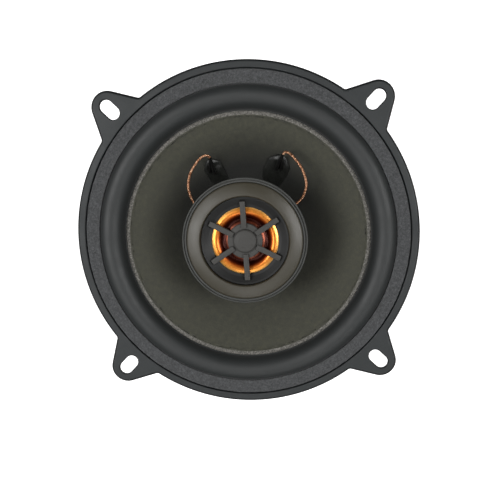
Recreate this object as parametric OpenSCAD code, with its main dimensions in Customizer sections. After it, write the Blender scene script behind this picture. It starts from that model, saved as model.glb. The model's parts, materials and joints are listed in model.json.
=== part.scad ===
// Coaxial car speaker, 130 mm class: a paper cone driver with a dome tweeter on a post in front of it.
// The frame stands at the centre of the mounting plane. +Z points forward, the way the cone plays.
// The four slotted ears lie on the X and Y axes.

/* [Flange] */
// Radius of the basket's rim
rim_r = 65; // [64.5:0.1:65.5]
// Height of the rim's front face above the mounting plane
rim_h = 2.4; // [2.3:0.05:2.5]
// Thickness of the basket's steel sheet
sheet_t = 1; // [0.9:0.05:1.05]
// Radius of the recess that takes the gasket
recess_r = 61.9; // [61.8:0.05:62]
// Radius of each ear's slot centre
slot_pitch_r = 69.2; // [69:0.1:69.4]
// Width of each ear's slot
slot_w = 5; // [4.6:0.1:5.4]
// Length of each ear's slot, end to end
slot_len = 8.3; // [8:0.1:8.6]
// Radius of each ear's round tip
ear_tip_r = 6.2; // [6:0.1:6.4]
// Radius that each ear reaches
ear_reach = 76.5; // [76.2:0.1:76.8]
// Half the angle that each ear's root covers on the rim
ear_root_angle = 9.4; // [9:0.1:9.8]

/* [Basket] */
// Radius of the wall's front edge
wall_front_r = 56.4; // [56.2:0.1:56.6]
// Radius of the ledge that carries the spider
ledge_r = 34.6; // [34.2:0.1:35]
// Height of the ledge
ledge_z = -21; // [-21.2:0.1:-20.8]
// Radius of the floor, which lies on the top plate
floor_r = 25.5; // [25:0.1:26]
// Height of the floor's rear face
floor_z = -27; // [-27.2:0.1:-26.8]
// Inner radius of the windows
window_in_r = 38; // [37.8:0.1:38.4]
// Outer radius of the windows
window_out_r = 52.5; // [52:0.1:52.6]
// Half the angle that a window covers
window_half_angle = 31; // [29:0.5:32]

/* [Cone and suspension] */
// Inner radius of the surround's outer rim, at the gasket's inner edge
gasket_in_r = 56.5; // [56.4:0.05:56.6]
// Outer radius of the cone's visible lip, where the surround starts
lip_out_r = 47; // [46.8:0.1:47.1]
// Inner radius of the cone's lip
lip_in_r = 45.1; // [45:0.1:45.3]
// Height of the cone's lip
lip_z = -0.8; // [-1:0.1:-0.7]
// Height of the cone's neck
neck_z = -19; // [-19.2:0.1:-18.8]
// Shape of the cone's side: 1 is straight, less is flared
cone_flare = 0.85; // [0.8:0.01:0.95]
// Thickness of the cone's paper
cone_t = 0.7; // [0.6:0.05:0.8]
// Rise of the surround's half roll
roll_h = 4; // [3.6:0.1:4.2]
// Thickness of the surround's rubber
surround_t = 0.5; // [0.4:0.05:0.6]
// Outer radius of the voice-coil former
former_r = 13; // [12.95:0.01:13.05]
// Depth of each corrugation of the spider, from its middle
spider_wave = 0.9; // [0.7:0.05:1]

/* [Motor] */
// Radius of the steel top plate
plate_r = 30; // [29:0.5:31]
// Thickness of the top plate and of the back plate
plate_t = 4; // [3.8:0.1:4]
// Radius of the ferrite ring magnet
magnet_r = 35; // [33:0.5:36]
// Thickness of the ferrite ring magnet
magnet_t = 13; // [12.8:0.1:13.4]
// Radius of the pole piece
pole_r = 12.2; // [12:0.05:12.25]
// Radius of the top plate's bore around the voice coil
gap_r = 14; // [13.95:0.05:14.1]

/* [Tweeter] */
// Radius of the tweeter housing's stepped rim
housing_rim_r = 22.7; // [22.5:0.1:22.9]
// Radius of the housing's body under the rim
housing_r = 19.8; // [19.6:0.1:20]
// Height of the housing's rim
housing_z = 14.4; // [14.3:0.05:14.5]
// Outer radius of the bezel
bezel_r = 21; // [20.9:0.02:21.05]
// Radius of the bezel's opening
bezel_hole_r = 16; // [15.98:0.01:16.1]
// Height of the bezel's lip
bezel_z = 15.9; // [15.8:0.05:16]
// Radius of the diaphragm's visible part
diaphragm_r = 12.1; // [12:0.05:12.15]
// Radius of the tweeter's voice coil
dome_r = 7; // [6.95:0.01:7.05]
// Radius of the phase plug's collar
plug_collar_r = 6.4; // [6.3:0.05:6.5]
// Radius of the phase plug's cap
plug_cap_r = 4.2; // [4:0.1:4.4]
// Reach of the grille's arms
arm_reach = 14.3; // [14.2:0.05:14.4]
// Width of each grille arm
arm_w = 2; // [1.8:0.1:2.2]
// Turn of the grille's arms from the diagonal between two ears
arm_turn = 1.6; // [0:0.2:3]

/* [Hidden] */
$fn = 96;
part_gap = 0.1; // clearance between pieces that are assembled into each other
ear_count = 4;
window_count = 4;
arm_count = 6;
slot_r = slot_w / 2;
ear_centre_r = ear_reach - ear_tip_r;
seat_z = sheet_t; // front face of the recess
gasket_z = rim_h - 0.1;
neck_r = former_r + 0.8;
former_t = 0.3;
former_low_z = -35;
coil_t = 0.5;
coil_low_z = -33;
coil_high_z = -25;
top_plate_z = floor_z - plate_t;
back_plate_z = top_plate_z - magnet_t;
motor_end_z = back_plate_z - plate_t;
back_plate_r = plate_r + 1;
bolt_r = 2;
bolt_hole_r = 2.2;
counterbore_r = 5;
counterbore_depth = 3.5;
washer_t = 0.8;
head_h = 2.4;
housing_low_z = -1;
housing_floor_z = housing_low_z + 1.5;
nut_h = 2.8;
nut_bore_r = 2.05;
carrier_low_z = 8.6;
carrier_seat_z = 10.2;
carrier_top_z = 11.75;
clamp_z = 12.1; // rear face of the black ring, which clamps the diaphragm's rim
clamp_t = 0.8;
film_t = 0.2;
cup_r = 9.2;
cup_low_z = 4.4;
lead_r = 0.55; // radius of the copper tinsel leads
sleeve_r = 0.75; // radius of the sleeved stubs on the cone
lead_hole_r = 1.1;
lead_hole_z = 3;
lead_angles = [102.3, -12.6]; // where the front leads enter the housing
glue_angles = [70, 21]; // where the glue spots lie on the cone
terminal_angle = 45;
leg_slope = atan2(seat_z - ledge_z, wall_front_r - 0.6 - ledge_r);
leg_r = 44.6; // place of the terminal board on the leg
board = [26, 11, 1.6];
tab_ws = [4.8, 2.8];
tab_x = 7.5; // half the distance between the two tabs
tab_t = 0.8;
rivet_r = 1.25;
rivet_head_r = 2.1;
rivet_seat = -1.15; // flat on the leg's inner face that each rivet's head sits on
pad_t = 0.6; // rise of the leg's pad
tab_top = pad_t + board[2] + tab_t;
plate_rivet_r = 1.75;
plate_rivet_pitch_r = 20;
capacitor_r = 3;
capacitor_len = 12;
capacitor_z = capacitor_r + 0.5; // height of its axis above the leg

// Routes of the leads, chosen by hand, each from its fixed end on the cone.
sleeve_left = [[8.4, 26.2, -8.2], [9.2, 27.2, -6.6], [10.2, 28.4, -4.8], [11.2, 29.6, -3.2],
    [12, 30.6, -2]];
front_left = [[12.1, 30.8, -1.7], [12, 31.9, -0.9], [11, 32.7, -0.2], [9.3, 33, 0.6],
    [7.3, 32.8, 1.4], [5.2, 32.4, 2.1], [3.4, 31.8, 2.7], [1.8, 31, 3.2], [0.4, 30.1, 3.5],
    [-0.9, 29, 3.6], [-2, 27.6, 3.7], [-2.9, 26.1, 3.6], [-3.6, 24.5, 3.4], [-4.1, 22.8, 3.2],
    [-4.3, 21, 3.05], [-4.2, 19.6, 3], [-3.9, 18.3, 3]];
sleeve_right = [[25.8, 9.6, -8.2], [27, 10, -6.6], [28.4, 10.5, -4.8], [30, 11, -3.2],
    [31.5, 11.3, -2]];
front_right = [[31.9, 11.4, -1.7], [33, 11.3, -0.9], [33.7, 10, -0.2], [33.8, 8.2, 0.6],
    [33.6, 6.2, 1.4], [33.3, 4.4, 2.1], [32.8, 2.6, 2.7], [32.1, 1, 3.2], [31.3, -0.5, 3.5],
    [30.2, -2, 3.7], [28.9, -3.2, 3.7], [27.2, -4.1, 3.6], [25.4, -4.7, 3.4], [23.6, -4.8, 3.2],
    [21.8, -4.7, 3.05], [20, -4.4, 3], [18.2, -4.1, 3]];
// The rear leads are given as [radius, angle from the leg's middle, height].
rear_route = [[30.9, 24.4, -9.6], [31.4, 24.4, -11], [32.8, 24.3, -12.2], [34.9, 24.1, -13.3],
    [37.2, 23.8, -14.1], [39.6, 23.4, -14.6], [42, 22.8, -14.9], [44.2, 22, -15], [46.4, 21, -15],
    [48.3, 19.6, -14.9], [49.7, 17.6, -14.5], [50.7, 15.3, -13.7], [51.2, 13, -12.7],
    [51.1, 10.7, -11.9], [50.7, 8.5, -11.5]];

// Height of the cone's front face at radius r.
function cone_z(r) = neck_z + (lip_z - neck_z) * pow((r - neck_r) / (lip_in_r - neck_r), cone_flare);

// Points of the surround's half roll. inset makes the inner face.
function roll_points(inset) = [
    for (i = [0:24])
        let (turn = i * 7.5)
        let (half = (gasket_in_r - 0.2 - lip_out_r - 0.3) / 2 - inset)
        [
            lip_out_r + 0.3 + (gasket_in_r - 0.5 - lip_out_r) / 2 - half * cos(turn),
            lip_z + surround_t + (seat_z - lip_z) * i / 24 + (roll_h - inset) * sin(turn) - inset
        ]
];

// Points of the spider's corrugated middle, along its front or rear face.
function spider_points(shift) = [
    for (i = [0:48])
        let (r = former_r + 2.2 + (ledge_r - 8.6 - former_r - 2.2) * i / 48)
        [r, ledge_z - 0.3 + 0.55 * i / 48 + spider_wave * sin(i * 30) * min(1, i / 6, (48 - i) / 6) + shift]
];

// Front face of the tweeter's diaphragm: dome, trough and outer roll.
function film_points(shift) = concat(
    [for (i = [0:10]) let (r = dome_r * i / 10) [r, 12.1 - 0.9 * pow(r / dome_r, 2) + shift]],
    [for (i = [1:8]) let (r = dome_r + 2.9 * i / 8) [r, 11.2 + 0.3 * i / 8 - 0.5 * sin(i * 22.5) + shift]],
    [for (i = [1:8]) let (r = dome_r + 2.9 + 2.2 * i / 8)
        [r, 11.5 + 0.45 * i / 8 + 0.7 * sin(i * 22.5) + shift]]
);

function reversed(list) = [for (i = [len(list) - 1:-1:0]) list[i]];
function unit(v) = v / norm(v);
function from_polar(p, side) = [
    p[0] * cos(terminal_angle + side * p[1]),
    p[0] * sin(terminal_angle + side * p[1]),
    p[2]
];

// Direction of a route at its point i.
function heading(route, i) = unit(route[min(i + 1, len(route) - 1)] - route[max(i - 1, 0)]);

// Rings of eight points along a route; across is a direction that the route never follows.
function tube_points(route, r, across) = [
    for (i = [0:len(route) - 1])
        let (along = heading(route, i))
        let (side = unit(cross(across, along)))
        let (up = cross(along, side))
        for (k = [0:7])
            route[i] + r * (cos(k * 45) * side + sin(k * 45) * up)
];

module tube(route, r, across) {
    last = 8 * (len(route) - 1);
    polyhedron(
        points = tube_points(route, r, across),
        faces = concat(
            [[for (k = [0:7]) k]],
            [[for (k = [7:-1:0]) last + k]],
            [for (i = [0:len(route) - 2]) for (k = [0:7])
                [8 * i + k, 8 * i + 8 + k, 8 * i + 8 + (k + 1) % 8, 8 * i + (k + 1) % 8]]
        ),
        convexity = 6
    );
}

module ring(out_r, in_r, low, high) {
    translate([0, 0, low])
        difference() {
            cylinder(r = out_r, h = high - low);
            translate([0, 0, -1])
                cylinder(r = in_r, h = high - low + 2);
        }
}

module disc(r, low, high) {
    translate([0, 0, low])
        cylinder(r = r, h = high - low);
}

// Outline of the rim and its ears, drawn in by inset.
module flange_outline(inset) {
    root = [rim_r * cos(ear_root_angle), rim_r * sin(ear_root_angle)];
    to_tip = [ear_centre_r, 0] - root;
    side_angle = atan2(to_tip[1], to_tip[0]) + asin(ear_tip_r / norm(to_tip));
    normal = [-sin(side_angle), cos(side_angle)];
    tip = [
        for (i = [-8:8])
            let (turn = (90 + side_angle) * i / 8)
            [ear_centre_r + (ear_tip_r - inset) * cos(turn), (ear_tip_r - inset) * sin(turn)]
    ];
    // The ear's sides run on under the rim, so that they cross its edge cleanly.
    foot = root - inset * normal - 3 * [cos(side_angle), sin(side_angle)];
    circle(r = rim_r - inset, $fn = 180);
    for (i = [0:ear_count - 1])
        rotate(i * 360 / ear_count)
            polygon(concat([[foot[0], -foot[1]]], tip, [foot]));
}

module ear_slots() {
    for (i = [0:ear_count - 1])
        rotate(i * 360 / ear_count) {
            for (side = [-1, 1])
                translate([slot_pitch_r + side * (slot_len - slot_w) / 2, 0, -1])
                    cylinder(r = slot_r, h = rim_h + 2, $fn = 48);
            translate([slot_pitch_r - (slot_len - slot_w) / 2, -slot_r, -1])
                cube([slot_len - slot_w, slot_w, rim_h + 2]);
        }
}

// Rim, recess seat, wall, spider ledge and floor, turned about the axis.
module basket_body() {
    rotate_extrude($fn = 180)
        polygon([
            [14.8, floor_z],
            [floor_r + sheet_t, floor_z],
            [ledge_r - 7 + sheet_t, ledge_z - sheet_t],
            [ledge_r + sheet_t * 0.4, ledge_z - sheet_t],
            [wall_front_r + sheet_t * 0.4, 0],
            [recess_r + sheet_t, 0],
            [recess_r + sheet_t, rim_h - sheet_t],
            [recess_r + sheet_t, rim_h],
            [recess_r, rim_h],
            [recess_r, seat_z],
            [wall_front_r - sheet_t * 0.6, seat_z],
            [ledge_r, ledge_z],
            [ledge_r - 7, ledge_z],
            [floor_r, floor_z + sheet_t],
            [14.8, floor_z + sheet_t]
        ]);
}

module windows() {
    for (i = [0:window_count - 1])
        rotate(i * 360 / window_count)
            translate([0, 0, ledge_z - 3])
                linear_extrude(height = seat_z - ledge_z)
                    intersection() {
                        difference() {
                            circle(r = window_out_r, $fn = 180);
                            circle(r = window_in_r, $fn = 180);
                        }
                        polygon([
                            [0, 0],
                            [rim_r, -rim_r * tan(window_half_angle)],
                            [rim_r, rim_r * tan(window_half_angle)]
                        ]);
                    }
}

// Puts its children on the basket's terminal leg: X across the leg, Y down its slope, Z out of its rear face.
module on_leg(r) {
    rotate(terminal_angle)
        translate([r + sheet_t * 0.7, 0, ledge_z + (r - ledge_r) * tan(leg_slope) - sheet_t * 0.7])
            rotate([0, 180 - leg_slope, 0])
                rotate(-90)
                    children();
}

module rivet_holes(low, high) {
    for (side = [-1, 1])
        translate([side * tab_x, 0, low])
            cylinder(r = rivet_r + part_gap / 2, h = high - low, $fn = 32);
}

module basket() {
    color("#3f4243")
        difference() {
            union() {
                difference() {
                    linear_extrude(height = rim_h)
                        flange_outline(0);
                    translate([0, 0, -1])
                        linear_extrude(height = rim_h - sheet_t + 1)
                            flange_outline(sheet_t);
                    translate([0, 0, -1])
                        cylinder(r = recess_r + sheet_t / 2, h = rim_h + 2, $fn = 180);
                }
                difference() {
                    basket_body();
                    windows();
                }
                on_leg(leg_r)
                    translate([-board[0] / 2 + 3.5, -board[1] / 2, -0.9])
                        cube([board[0] - 7, board[1], 0.9 + pad_t]);
            }
            ear_slots();
            on_leg(leg_r) {
                rivet_holes(-4, 4);
                for (side = [-1, 1])
                    translate([side * tab_x, 0, 0])
                        disc(rivet_head_r + 0.2, -4, rivet_seat, $fn = 32);
            }
            for (i = [0:3])
                rotate(i * 90)
                    translate([plate_rivet_pitch_r, 0, floor_z - 1])
                        cylinder(r = plate_rivet_r + part_gap / 2, h = 3, $fn = 32);
        }
}

module front_gasket() {
    color("#49494b")
        ring(recess_r - part_gap, gasket_in_r, seat_z + surround_t, gasket_z);
}

module top_plate() {
    color("#6f6f70")
        difference() {
            ring(plate_r, gap_r, top_plate_z, floor_z);
            for (i = [0:3])
                rotate(i * 90)
                    translate([plate_rivet_pitch_r, 0, top_plate_z - 1])
                        cylinder(r = plate_rivet_r + part_gap / 2, h = plate_t + 2, $fn = 32);
        }
}

module magnet() {
    color("#303234")
        ring(magnet_r, 18, back_plate_z, top_plate_z);
}

module yoke() {
    color("#747576")
        difference() {
            union() {
                disc(back_plate_r, motor_end_z, back_plate_z);
                disc(pole_r, motor_end_z + 1, floor_z);
            }
            disc(bolt_hole_r, motor_end_z - 1, floor_z + 1);
            disc(counterbore_r, motor_end_z - 1, motor_end_z + counterbore_depth);
        }
}

module basket_rivets() {
    color("#8a8a88")
        for (i = [0:3])
            rotate(i * 90)
                translate([plate_rivet_pitch_r, 0, 0]) {
                    disc(plate_rivet_r, top_plate_z + 1, floor_z + sheet_t, $fn = 32);
                    disc(2.7, floor_z + sheet_t, floor_z + sheet_t + 0.8, $fn = 32);
                }
}

module terminal_board() {
    color("#6b4a2b")
        on_leg(leg_r)
            difference() {
                translate([-board[0] / 2, -board[1] / 2, pad_t])
                    cube(board);
                rivet_holes(0, 4);
            }
}

module terminal_rivets() {
    color("#a8a6a0")
        on_leg(leg_r)
            for (side = [-1, 1])
                translate([side * tab_x, 0, 0]) {
                    disc(rivet_r, rivet_seat, tab_top, $fn = 32);
                    disc(rivet_head_r, tab_top, tab_top + 0.7, $fn = 32);
                    disc(rivet_head_r, rivet_seat - 0.7, rivet_seat, $fn = 32);
                }
}

// Spade tab with its lug: the blade points down the leg's slope.
module terminal_tab(w, side) {
    blade = 14;
    on_leg(leg_r)
        translate([side * tab_x, 0, tab_top - tab_t])
            difference() {
                union() {
                    translate([-w / 2, -5, 0])
                        cube([w, blade, tab_t]);
                    disc(3, 0, tab_t, $fn = 32);
                }
                disc(rivet_r + part_gap / 2, -1, 2, $fn = 32);
                translate([0, blade - 8, -1])
                    cylinder(r = 0.7, h = 3, $fn = 24);
            }
}

module terminal_tab_wide() {
    color("#b9b6ae")
        terminal_tab(tab_ws[0], 1);
}

module terminal_tab_narrow() {
    color("#b9b6ae")
        terminal_tab(tab_ws[1], -1);
}

module crossover_capacitor() {
    color("#22262e")
        on_leg(leg_r)
            translate([-capacitor_len / 2, -board[1] / 2 - capacitor_r - 0.6, capacitor_z])
                rotate([0, 90, 0])
                    cylinder(r = capacitor_r, h = capacitor_len, $fn = 48);
}

module capacitor_wires() {
    end_y = -board[1] / 2 - capacitor_r - 0.6;
    color("#b8b4a8")
        on_leg(leg_r)
            for (side = [-1, 1])
                tube([
                    [side * (capacitor_len / 2 + 0.05), end_y, capacitor_z],
                    [side * (capacitor_len / 2 + 1.2), end_y, capacitor_z],
                    [side * (capacitor_len / 2 + 1.8), end_y + 0.8, capacitor_z + 0.1],
                    [side * (capacitor_len / 2 + 1.7), end_y + 2.2, capacitor_z + 0.1],
                    [side * (capacitor_len / 2 + 1.5), end_y + 4.8, tab_top + 0.46]
                ], 0.4, [0, 0, 1]);
}

module tweeter_post() {
    color("#2b2c2d")
        rotate_extrude()
            polygon([
                [bolt_hole_r, floor_z],
                [9, floor_z],
                [9, floor_z + 2],
                [6, floor_z + 4],
                [5.4, housing_low_z - 3],
                [7.5, housing_low_z - 1],
                [7.5, housing_low_z],
                [bolt_hole_r, housing_low_z]
            ]);
}

module tweeter_bolt() {
    head_z = motor_end_z + counterbore_depth - washer_t;
    color("#9a9a98")
        difference() {
            union() {
                disc(bolt_r, head_z - 0.5, housing_floor_z + nut_h + 0.6, $fn = 48);
                disc(3.5, head_z - head_h, head_z, $fn = 48);
            }
            for (turn = [0, 90])
                rotate(turn)
                    translate([-2, -0.45, head_z - head_h - 1])
                        cube([4, 0.9, 2.2]);
        }
}

module bolt_washer() {
    low = motor_end_z + counterbore_depth - washer_t;
    color("#a3a29c")
        ring(4.5, bolt_hole_r, low, low + washer_t);
}

module tweeter_nut() {
    color("#a3a29c")
        translate([0, 0, housing_floor_z])
            difference() {
                cylinder(r = 4.04, h = nut_h, $fn = 6);
                translate([0, 0, -1])
                    cylinder(r = nut_bore_r, h = nut_h + 2, $fn = 48);
            }
}

module tweeter_housing() {
    groove_r = bezel_r + 0.15;
    color("#4a4a42")
        difference() {
            rotate_extrude($fn = 128)
                polygon([
                    [bolt_hole_r, housing_low_z],
                    [housing_r - 3, housing_low_z],
                    [housing_r - 1, housing_low_z + 0.8],
                    [housing_r, housing_low_z + 2.6],
                    [housing_r, 10.6],
                    [housing_rim_r - 0.4, 11.6],
                    [housing_rim_r, 12.1],
                    [housing_rim_r, housing_z - 0.5],
                    [housing_rim_r - 0.15, housing_z - 0.15],
                    [housing_rim_r - 0.5, housing_z],
                    [groove_r + 0.2, housing_z],
                    [groove_r, housing_z - 0.2],
                    [groove_r, carrier_top_z + 0.5],
                    [18.35, carrier_top_z + 0.5],
                    [18.35, carrier_seat_z],
                    [17.3, carrier_seat_z],
                    [17.3, housing_floor_z],
                    [bolt_hole_r, housing_floor_z]
                ]);
            for (angle = lead_angles)
                rotate(angle)
                    translate([16, 0, lead_hole_z])
                        rotate([0, 90, 0])
                            cylinder(r = lead_hole_r, h = 6, $fn = 32);
        }
}

module tweeter_carrier() {
    color("#1f2020")
        rotate_extrude()
            polygon([
                [cup_r, carrier_low_z],
                [17.2, carrier_low_z],
                [17.2, carrier_seat_z],
                [18.25, carrier_seat_z],
                [18.25, carrier_top_z],
                [12.2, carrier_top_z],
                [12.2, carrier_seat_z],
                [cup_r, carrier_seat_z]
            ]);
}

// The front cover's band falls in a shallow curve from its lip to the groove.
module tweeter_bezel() {
    band = [
        for (i = [0:8])
            let (u = i / 8)
            [bezel_hole_r + 0.35 + (bezel_r - bezel_hole_r - 0.6) * u, bezel_z - 0.95 * pow(u, 1.6)]
    ];
    color("#605e52")
        rotate_extrude($fn = 128)
            polygon(concat(
                [[bezel_hole_r, clamp_z + clamp_t], [bezel_hole_r, bezel_z - 0.4]],
                band,
                [[bezel_r, bezel_z - 1.25], [bezel_r, carrier_top_z + 0.6],
                    [18.5, carrier_top_z + 0.6], [18.5, clamp_z + clamp_t]]
            ));
}

// Shallow black horn that clamps the diaphragm's rim.
module tweeter_ring() {
    color("#232425")
        rotate_extrude($fn = 128)
            polygon([
                [diaphragm_r + 0.1, clamp_z],
                [diaphragm_r + 0.1, clamp_z + 0.25],
                [bezel_hole_r - 0.1, clamp_z + 1.9],
                [bezel_hole_r - 0.1, clamp_z + clamp_t],
                [18.3, clamp_z + clamp_t],
                [18.3, clamp_z]
            ]);
}

// Phase plug on six arms, whose feet stand on the black ring.
module tweeter_grille() {
    arm_z = clamp_z + 2.3;
    arm_t = 1.1;
    color("#3b3a37")
        difference() {
            union() {
                rotate_extrude()
                    polygon([
                        [0, clamp_z + 0.6],
                        [plug_collar_r - 0.2, clamp_z + 0.6],
                        [plug_collar_r, clamp_z + 0.8],
                        [plug_collar_r, clamp_z + 1.2],
                        [plug_collar_r - 0.4, clamp_z + 1.5],
                        [plug_cap_r + 0.1, clamp_z + 1.7],
                        [plug_cap_r, arm_z - 0.1],
                        [plug_cap_r - 0.5, arm_z + 0.15],
                        [plug_cap_r - 2, arm_z + 0.35],
                        [0, arm_z + 0.4]
                    ]);
                for (i = [0:arm_count - 1])
                    rotate(terminal_angle + arm_turn + i * 360 / arm_count) {
                        translate([plug_cap_r - 1, -arm_w / 2, arm_z - arm_t])
                            cube([arm_reach - plug_cap_r + 1, arm_w, arm_t]);
                        translate([arm_reach - 1.4, -arm_w / 2, clamp_z + 0.3])
                            cube([1.4, arm_w, 1.5]);
                    }
            }
            // The feet are cut to the ring's slope.
            rotate_extrude($fn = 128)
                polygon([
                    [diaphragm_r, clamp_z - 1],
                    [diaphragm_r, clamp_z + 0.2],
                    [diaphragm_r + 0.1, clamp_z + 0.25],
                    [bezel_hole_r - 0.1, clamp_z + 1.9],
                    [bezel_hole_r, clamp_z - 1]
                ]);
        }
}

module tweeter_yoke() {
    color("#8b8c8d")
        difference() {
            disc(cup_r, cup_low_z, carrier_seat_z);
            disc(7.3, cup_low_z + 1.5, carrier_seat_z + 1);
        }
}

module tweeter_magnet() {
    color("#a7a8a6")
        disc(5.6, cup_low_z + 1.5, 8.7);
}

module tweeter_pole_plate() {
    color("#8b8c8d")
        disc(6.2, 8.7, carrier_seat_z);
}

module tweeter_diaphragm() {
    color("#c8782c", 0.85)
        rotate_extrude($fn = 128)
            polygon(concat(
                film_points(0),
                [[14.5, carrier_top_z + film_t], [14.5, carrier_top_z + 0.05]],
                [[diaphragm_r + 0.15, carrier_top_z + 0.05]],
                reversed(film_points(-film_t))
            ));
}

module tweeter_voice_coil() {
    color("#b87333")
        ring(dome_r - 0.1, dome_r - 0.4, 8.8, 10.98, $fn = 64);
}

module surround() {
    outer = roll_points(0);
    inner = roll_points(surround_t);
    color("#333637")
        rotate_extrude($fn = 180)
            polygon(concat(
                [[lip_out_r, lip_z], [lip_out_r, lip_z + surround_t]],
                outer,
                [[gasket_in_r, seat_z + surround_t], [recess_r - 0.3, seat_z + surround_t]],
                [[recess_r - 0.3, seat_z], [gasket_in_r - 0.6, seat_z]],
                reversed([for (p = inner) if (p[1] > seat_z || p[0] < 52) p]),
                [[lip_out_r + 1.3, lip_z]]
            ));
}

module cone() {
    steps = 24;
    face = [
        for (i = [0:steps])
            let (r = neck_r + (lip_in_r - neck_r) * i / steps)
            [r, cone_z(r)]
    ];
    color("#42423a")
        rotate_extrude($fn = 180)
            polygon(concat(
                [[former_r, neck_z + 0.6], [neck_r - 0.2, neck_z + 0.6]],
                face,
                [[lip_out_r + 1.2, lip_z], [lip_out_r + 1.2, lip_z - cone_t]],
                [[lip_in_r + 0.2, lip_z - cone_t]],
                reversed([for (p = face) if (p[0] < lip_in_r - 1) [p[0] + 0.25, p[1] - cone_t]]),
                [[neck_r, neck_z - 2], [former_r, neck_z - 2]]
            ));
}

module voice_coil_former() {
    color("#a56a34")
        ring(former_r, former_r - former_t, former_low_z, neck_z + 1);
}

module voice_coil() {
    color("#8c4a22")
        ring(former_r + coil_t, former_r, coil_low_z, coil_high_z);
}

module spider() {
    t = 0.5;
    color("#a98f4c")
        rotate_extrude($fn = 128)
            polygon(concat(
                [[former_r, ledge_z - 0.3]],
                spider_points(0),
                [[ledge_r - 7.4, ledge_z + t], [ledge_r - 0.6, ledge_z + t]],
                [[ledge_r - 0.6, ledge_z], [ledge_r - 7.4, ledge_z]],
                reversed(spider_points(-t)),
                [[former_r, ledge_z - 0.3 - t]]
            ));
}

// A glue spot runs down the cone's slope in a drop and is cut to the cone's face.
module cone_glue_spots() {
    color("#1b1c1d")
        for (angle = glue_angles)
            difference() {
                rotate(angle)
                    hull() {
                        translate([31, 0, cone_z(31) + 0.1])
                            sphere(r = 3, $fn = 32);
                        translate([25, 0, cone_z(25) + 0.1])
                            sphere(r = 1.6, $fn = 32);
                    }
                rotate_extrude($fn = 180)
                    polygon(concat(
                        [[neck_r, -40]],
                        [for (i = [0:24])
                            let (r = neck_r + (lip_in_r - neck_r) * i / 24)
                            [r, cone_z(r)]],
                        [[lip_in_r, -40]]
                    ));
            }
}

module lead_sleeves() {
    color("#141414") {
        tube(sleeve_left, sleeve_r, [1, -1, 0]);
        tube(sleeve_right, sleeve_r, [-1, 1, 0]);
    }
}

module front_lead_left() {
    color("#a8704f")
        tube(front_left, lead_r, [0, 0, 1]);
}

module front_lead_right() {
    color("#a8704f")
        tube(front_right, lead_r, [0, 0, 1]);
}

module rear_lead(side) {
    color("#a8704f")
        tube([for (p = rear_route) from_polar(p, side)], lead_r, [0, 0, 1]);
}

module rear_lead_left() {
    rear_lead(1);
}

module rear_lead_right() {
    rear_lead(-1);
}

basket();
front_gasket();
top_plate();
magnet();
yoke();
basket_rivets();
terminal_board();
terminal_rivets();
terminal_tab_wide();
terminal_tab_narrow();
crossover_capacitor();
capacitor_wires();
tweeter_post();
tweeter_bolt();
bolt_washer();
tweeter_nut();
tweeter_housing();
tweeter_carrier();
tweeter_bezel();
tweeter_ring();
tweeter_grille();
tweeter_yoke();
tweeter_magnet();
tweeter_pole_plate();
tweeter_diaphragm();
tweeter_voice_coil();
surround();
cone();
voice_coil_former();
voice_coil();
spider();
cone_glue_spots();
lead_sleeves();
front_lead_left();
front_lead_right();
rear_lead_left();
rear_lead_right();
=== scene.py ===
"""Looks of a coaxial car speaker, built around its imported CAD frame.

Lengths are millimetres in the row frame: +Z points forward, out of the speaker's front, and the
ears lie on the X and Y axes. The terminal leg, at 45 degrees, is the top as seen from the front.
"""

import json
import math

import bmesh
import bpy
from mathutils import Matrix, Vector, noise

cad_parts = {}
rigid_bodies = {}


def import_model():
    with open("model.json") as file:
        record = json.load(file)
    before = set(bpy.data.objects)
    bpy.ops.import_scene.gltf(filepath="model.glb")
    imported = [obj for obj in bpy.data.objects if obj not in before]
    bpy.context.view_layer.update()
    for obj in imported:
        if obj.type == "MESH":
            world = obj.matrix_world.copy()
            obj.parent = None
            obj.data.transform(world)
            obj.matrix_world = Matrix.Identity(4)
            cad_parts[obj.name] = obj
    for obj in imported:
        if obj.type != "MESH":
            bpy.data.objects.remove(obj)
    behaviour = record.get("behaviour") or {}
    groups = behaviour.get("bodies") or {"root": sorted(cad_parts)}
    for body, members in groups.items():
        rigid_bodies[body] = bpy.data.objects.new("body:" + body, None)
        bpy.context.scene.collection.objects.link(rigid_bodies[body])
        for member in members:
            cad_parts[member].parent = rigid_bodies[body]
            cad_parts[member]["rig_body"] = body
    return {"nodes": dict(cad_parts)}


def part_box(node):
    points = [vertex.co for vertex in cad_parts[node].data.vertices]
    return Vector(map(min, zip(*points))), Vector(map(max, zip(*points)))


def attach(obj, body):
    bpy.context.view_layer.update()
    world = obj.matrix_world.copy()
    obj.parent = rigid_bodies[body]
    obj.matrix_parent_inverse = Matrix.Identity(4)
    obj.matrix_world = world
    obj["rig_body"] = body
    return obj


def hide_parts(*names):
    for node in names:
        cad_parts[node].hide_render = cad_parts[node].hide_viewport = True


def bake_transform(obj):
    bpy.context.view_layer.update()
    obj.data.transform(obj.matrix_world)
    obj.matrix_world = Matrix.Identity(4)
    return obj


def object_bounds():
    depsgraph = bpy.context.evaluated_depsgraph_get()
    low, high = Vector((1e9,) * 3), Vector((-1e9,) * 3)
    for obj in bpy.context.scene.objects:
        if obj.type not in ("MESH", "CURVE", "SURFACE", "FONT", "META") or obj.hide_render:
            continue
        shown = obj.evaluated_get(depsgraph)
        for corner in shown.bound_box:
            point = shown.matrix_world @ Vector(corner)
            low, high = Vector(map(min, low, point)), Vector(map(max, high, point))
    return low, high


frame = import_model()
cad_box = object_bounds()

MM = 0.001
TERMINAL_ANGLE = 45
EAR_ANGLES = (0, 90, 180, 270)

# ---- sizes of the CAD model, in millimetres and degrees

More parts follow.
